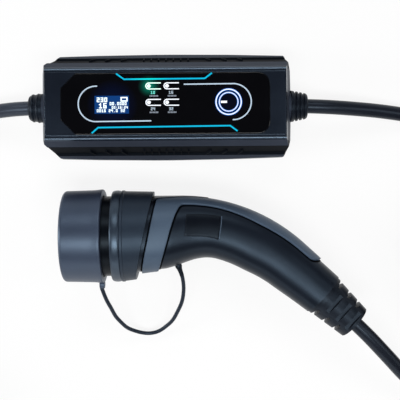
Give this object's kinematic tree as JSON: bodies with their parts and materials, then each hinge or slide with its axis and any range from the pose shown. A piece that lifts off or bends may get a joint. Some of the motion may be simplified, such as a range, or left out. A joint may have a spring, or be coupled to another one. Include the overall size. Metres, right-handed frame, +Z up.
{
  "type": "portable ev charger",
  "caption": "Portable electric car charger: a control box with a touch panel, a short supply lead with a mains plug, and a coiled vehicle lead with a capped pistol-grip connector.",
  "frame": {"origin": "middle of the control box's flat underside", "axes": "+X along the control box from the supply lead to the vehicle lead, +Y up the front panel, away from the connector, +Z up"},
  "size_m": [0.5645, 0.2905, 0.0704],
  "materials": {
    "housing_plastic": "fine moulded texture, dark charcoal",
    "panel_gloss": "polished black",
    "screen": "lit blue screen",
    "lamp": "clear lamp",
    "circuit_board": "solder mask",
    "screw_steel": "plated",
    "relay_case": "moulded",
    "copper_winding": "enamelled wire",
    "supply_tape": "yellow tape",
    "terminal_green": "moulded",
    "soft_rubber": "matt black",
    "cable_jacket": "satin black",
    "plug_plastic": "satin black",
    "contact_metal": "plated",
    "strap_fabric": "woven black",
    "clamp_plastic": "moulded",
    "handle_plastic": "satin black",
    "plate_gloss": "polished black",
    "grey_trim": "satin slate grey",
    "collar_plastic": "satin black",
    "carrier_plastic": "moulded",
    "seal_red": "soft",
    "cap_rubber": "matt black"
  },
  "bodies": {
    "charger": {"lower_housing": "housing_plastic", "upper_housing": "housing_plastic", "housing_seal": "soft_rubber", "housing_screws": "screw_steel", "front_panel": "panel_gloss", "display_board": "circuit_board", "oled_display": "screen", "status_lights": "lamp", "touch_sensor": "contact_metal", "main_board": "circuit_board", "board_screws": "screw_steel", "power_relays": "relay_case", "leakage_sensor": "copper_winding", "power_supply": "supply_tape", "input_terminals": "terminal_green", "output_terminals": "terminal_green", "supply_gland": "soft_rubber", "output_gland": "soft_rubber", "gland_nuts": "housing_plastic", "supply_cable": "cable_jacket", "plug_boot": "soft_rubber", "plug_body": "plug_plastic", "plug_pins": "contact_metal", "plug_earth_clips": "contact_metal", "vehicle_cable_out": "cable_jacket", "vehicle_cable_coil": "cable_jacket", "vehicle_cable_in": "cable_jacket", "cable_strap": "strap_fabric", "cable_boot": "soft_rubber", "cable_clamp": "clamp_plastic", "handle_left": "handle_plastic", "handle_right": "handle_plastic", "handle_screws": "screw_steel", "grip_cover": "grey_trim", "front_collar": "collar_plastic", "nose_shell": "collar_plastic", "contact_carrier": "carrier_plastic", "power_contacts": "contact_metal", "signal_contacts": "contact_metal", "nose_seal": "seal_red", "cap_tether": "soft_rubber", "tether_anchor": "soft_rubber", "side_plate": "plate_gloss"},
    "cap": {"dust_cap": "cap_rubber"}
  },
  "joints": [
    {"name": "cap_pull", "type": "slide", "parent": "charger", "child": "cap", "axis": [-1, 0, 0], "range_m": [0, 0.055]}
  ]
}
